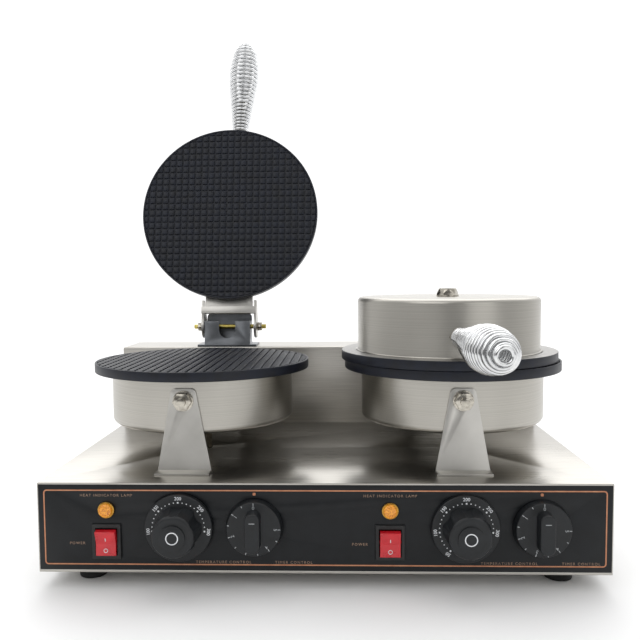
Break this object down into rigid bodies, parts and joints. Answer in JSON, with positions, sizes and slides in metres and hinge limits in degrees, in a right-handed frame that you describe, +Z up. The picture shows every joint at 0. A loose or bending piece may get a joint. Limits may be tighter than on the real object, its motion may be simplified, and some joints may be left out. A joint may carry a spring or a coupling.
{
  "type": "waffle cone maker",
  "caption": "Countertop waffle cone maker: two hinged round baking heads on one steel base with front controls; one lid open, one closed.",
  "frame": {"origin": "bottom centre of the whole machine at rest, on the surface that the feet stand on", "axes": "+Z up, -Y towards the user (the control panel), +X to the right of the user"},
  "size_m": [0.5, 0.4872, 0.5845],
  "materials": {
    "stainless_sheet": "brushed stainless sheet",
    "stainless_spun": "spun and satin stainless",
    "stainless_bracket": "cut and folded stainless",
    "black_fascia": "printed satin black",
    "nonstick_plate": "black non-stick coating on cast metal",
    "foot_rubber": "matt moulded rubber",
    "knob_plastic": "moulded black phenolic",
    "rocker_plastic": "red moulded plastic",
    "black_plastic": "black moulded nylon",
    "lamp_brass": "thin plated rim",
    "lamp_amber": "amber moulded lens",
    "chrome_wire": "bright chrome-plated spring wire",
    "zinc_yellow": "yellow zinc-plated steel",
    "steel_fastener": "bright machined steel",
    "heater_sheath": "dull heat-tinted sheath"
  },
  "bodies": {
    "base": {"base_cover": "stainless_sheet", "base_pan": "stainless_sheet", "bracket_bolts": "steel_fastener", "cable_gland": "black_plastic", "case_screws": "steel_fastener", "foot_screws": "steel_fastener", "front_bracket_left": "stainless_bracket", "front_bracket_right": "stainless_bracket", "front_fascia": "black_fascia", "hinge_axles": "zinc_yellow", "hinge_base_left": "stainless_bracket", "hinge_base_right": "stainless_bracket", "hinge_nuts": "steel_fastener", "lamp_body_left": "lamp_brass", "lamp_body_right": "lamp_brass", "lamp_lens_left": "lamp_amber", "lamp_lens_right": "lamp_amber", "lower_heaters": "heater_sheath", "lower_housing_left": "stainless_spun", "lower_housing_right": "stainless_spun", "lower_plate_left": "nonstick_plate", "lower_plate_right": "nonstick_plate", "rear_brackets": "stainless_bracket", "rear_panel": "stainless_sheet", "riser_cover": "stainless_sheet", "rocker_housing_left": "black_plastic", "rocker_housing_right": "black_plastic", "rubber_feet": "foot_rubber", "terminal_block": "black_plastic", "thermostat_body_left": "black_plastic", "thermostat_body_right": "black_plastic", "timer_body_left": "black_plastic", "timer_body_right": "black_plastic", "wire_posts": "steel_fastener"},
    "lid_left": {"upper_plate_left": "nonstick_plate", "upper_cap_left": "stainless_spun", "upper_heater_left": "heater_sheath", "cap_nut_left": "steel_fastener", "lid_arm_left": "stainless_bracket", "arm_screws_left": "steel_fastener", "handle_rod_left": "chrome_wire", "handle_spring_left": "chrome_wire"},
    "power_rocker_left": {"rocker_left": "rocker_plastic"},
    "thermostat_dial_left": {"thermostat_knob_left": "knob_plastic", "thermostat_shaft_left": "steel_fastener"},
    "timer_dial_left": {"timer_knob_left": "knob_plastic", "timer_shaft_left": "steel_fastener"},
    "lid_right": {"upper_plate_right": "nonstick_plate", "upper_cap_right": "stainless_spun", "upper_heater_right": "heater_sheath", "cap_nut_right": "steel_fastener", "lid_arm_right": "stainless_bracket", "arm_screws_right": "steel_fastener", "handle_rod_right": "chrome_wire", "handle_spring_right": "chrome_wire"},
    "power_rocker_right": {"rocker_right": "rocker_plastic"},
    "thermostat_dial_right": {"thermostat_knob_right": "knob_plastic", "thermostat_shaft_right": "steel_fastener"},
    "timer_dial_right": {"timer_knob_right": "knob_plastic", "timer_shaft_right": "steel_fastener"}
  },
  "joints": [
    {"name": "lid_hinge_left", "type": "hinge", "parent": "base", "child": "lid_left", "pos_m": [-0.1206, 0.1386, 0.212], "axis": [-1, 0, 0], "range_deg": [-103, 0]},
    {"name": "rocker_pivot_left", "type": "hinge", "parent": "base", "child": "power_rocker_left", "pos_m": [-0.1891, -0.1274, 0.043], "axis": [-1, 0, 0], "range_deg": [0, 16]},
    {"name": "thermostat_turn_left", "type": "hinge", "parent": "base", "child": "thermostat_dial_left", "pos_m": [-0.1245, -0.1294, 0.0565], "axis": [0, 1, 0], "range_deg": [-96, 160]},
    {"name": "timer_turn_left", "type": "hinge", "parent": "base", "child": "timer_dial_left", "pos_m": [-0.059, -0.1294, 0.0565], "axis": [0, 1, 0], "range_deg": [0, 270]},
    {"name": "lid_hinge_right", "type": "hinge", "parent": "base", "child": "lid_right", "pos_m": [0.1266, 0.1386, 0.212], "axis": [-1, 0, 0], "range_deg": [0, 103]},
    {"name": "rocker_pivot_right", "type": "hinge", "parent": "base", "child": "power_rocker_right", "pos_m": [0.0589, -0.1274, 0.043], "axis": [-1, 0, 0], "range_deg": [0, 16]},
    {"name": "thermostat_turn_right", "type": "hinge", "parent": "base", "child": "thermostat_dial_right", "pos_m": [0.1235, -0.1294, 0.0565], "axis": [0, 1, 0], "range_deg": [-96, 160]},
    {"name": "timer_turn_right", "type": "hinge", "parent": "base", "child": "timer_dial_right", "pos_m": [0.189, -0.1294, 0.0565], "axis": [0, 1, 0], "range_deg": [0, 270]}
  ]
}
